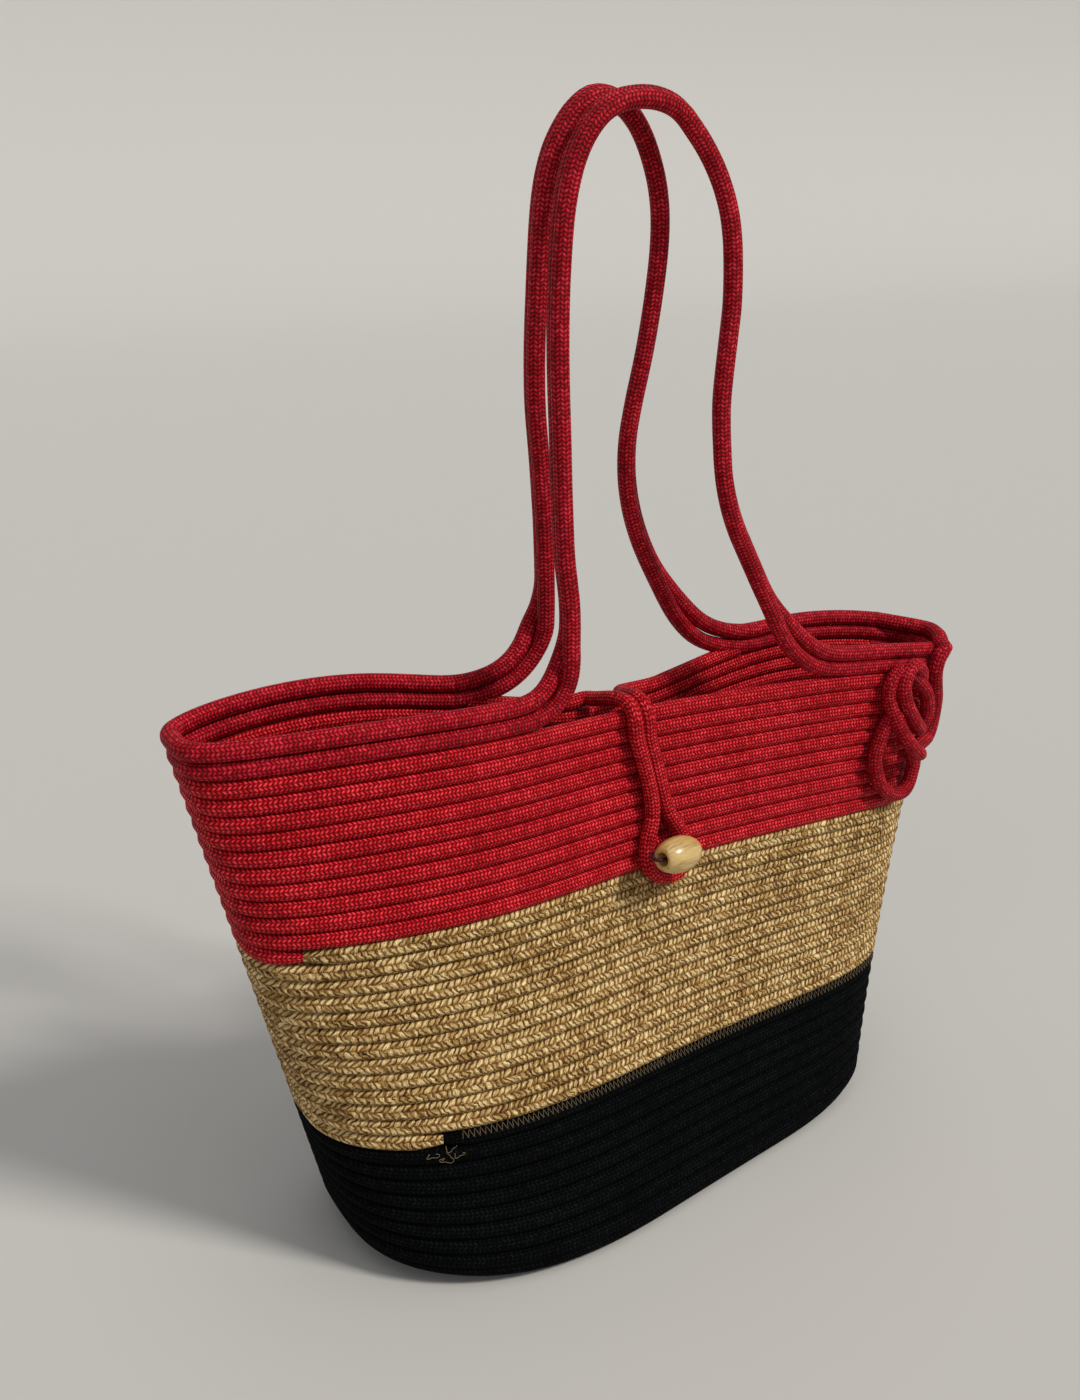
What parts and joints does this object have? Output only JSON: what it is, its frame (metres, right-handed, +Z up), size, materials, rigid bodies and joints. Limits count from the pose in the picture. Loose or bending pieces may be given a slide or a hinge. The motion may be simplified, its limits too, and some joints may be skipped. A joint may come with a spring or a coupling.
{
  "type": "beach bag",
  "caption": "Soft rope tote with an oval coiled base, flaring stitched walls in colour bands, upright rope shoulder handles and a loop-and-bead closure.",
  "frame": {"origin": "centre of the flat underside of the base", "axes": "+Z up, +X along the bag towards the rosette end, -Y out of the front face with the bead"},
  "size_m": [0.4307, 0.1464, 0.5177],
  "materials": {
    "black_rope": "matte braided cotton",
    "jute_rope": "coarse natural plait",
    "red_rope": "satin braided cotton",
    "tie_cord": "matte cord",
    "bead_wood": "clear gloss varnish"
  },
  "bodies": {
    "bag": {"base_coil": "black_rope", "black_wall_coil": "black_rope", "jute_wall_coil": "jute_rope", "red_wall_coil": "red_rope", "rim_front_right_lower": "red_rope", "rim_left_lower": "red_rope", "rim_left_upper": "red_rope", "rim_rear_right_upper": "red_rope", "rim_right_wrap": "red_rope", "rosette_lower_petal": "red_rope", "rosette_middle_petal": "red_rope", "rosette_right_petal": "red_rope", "rosette_tail": "red_rope", "rosette_upper_petal": "red_rope"},
    "front_handle": {"front_handle_inner_rope": "red_rope", "front_handle_outer_rope": "red_rope"},
    "rear_handle": {"rear_handle_inner_rope": "red_rope", "rear_handle_outer_rope": "red_rope"},
    "loop_bridge": {"loop_bridge_left": "red_rope", "loop_bridge_right": "red_rope"},
    "loop_tongue": {"loop_tongue_left": "red_rope", "loop_tongue_right": "red_rope", "loop_eye": "red_rope"},
    "bead_tie": {"bead_tie_cord": "tie_cord"},
    "bead": {"wooden_bead": "bead_wood"}
  },
  "joints": [
    {"name": "front_handle_swing", "type": "hinge", "parent": "bag", "child": "front_handle", "pos_m": [-0.06123, -0.02101, 0.26346], "axis": [0.9984, 0.0189, -0.054], "range_deg": [0, 140]},
    {"name": "rear_handle_swing", "type": "hinge", "parent": "bag", "child": "rear_handle", "pos_m": [-0.07538, 0.0209, 0.26177], "axis": [-0.9994, -0.0188, 0.029], "range_deg": [0, 140]},
    {"name": "loop_flip", "type": "hinge", "parent": "bag", "child": "loop_bridge", "pos_m": [-0.013, 0.0165, 0.249], "axis": [-1, 0, 0], "range_deg": [0, 180], "deforming": ["loop_eye"]},
    {"name": "tongue_lift", "type": "hinge", "parent": "loop_bridge", "child": "loop_tongue", "pos_m": [0, -0.0144, 0.258], "axis": [-1, 0, 0], "range_deg": [0, 170], "deforming": ["loop_eye"]},
    {"name": "bead_swivel", "type": "hinge", "parent": "bag", "child": "bead_tie", "pos_m": [0.0039, -0.0458, 0.1879], "axis": [0.2486, 0.9247, -0.2883], "range_deg": [-90, 90]},
    {"name": "bead_spin", "type": "hinge", "parent": "bead_tie", "child": "bead", "pos_m": [0.0039, -0.0458, 0.1879], "axis": [0.9704, 0.2136, -0.1125], "continuous": true}
  ]
}
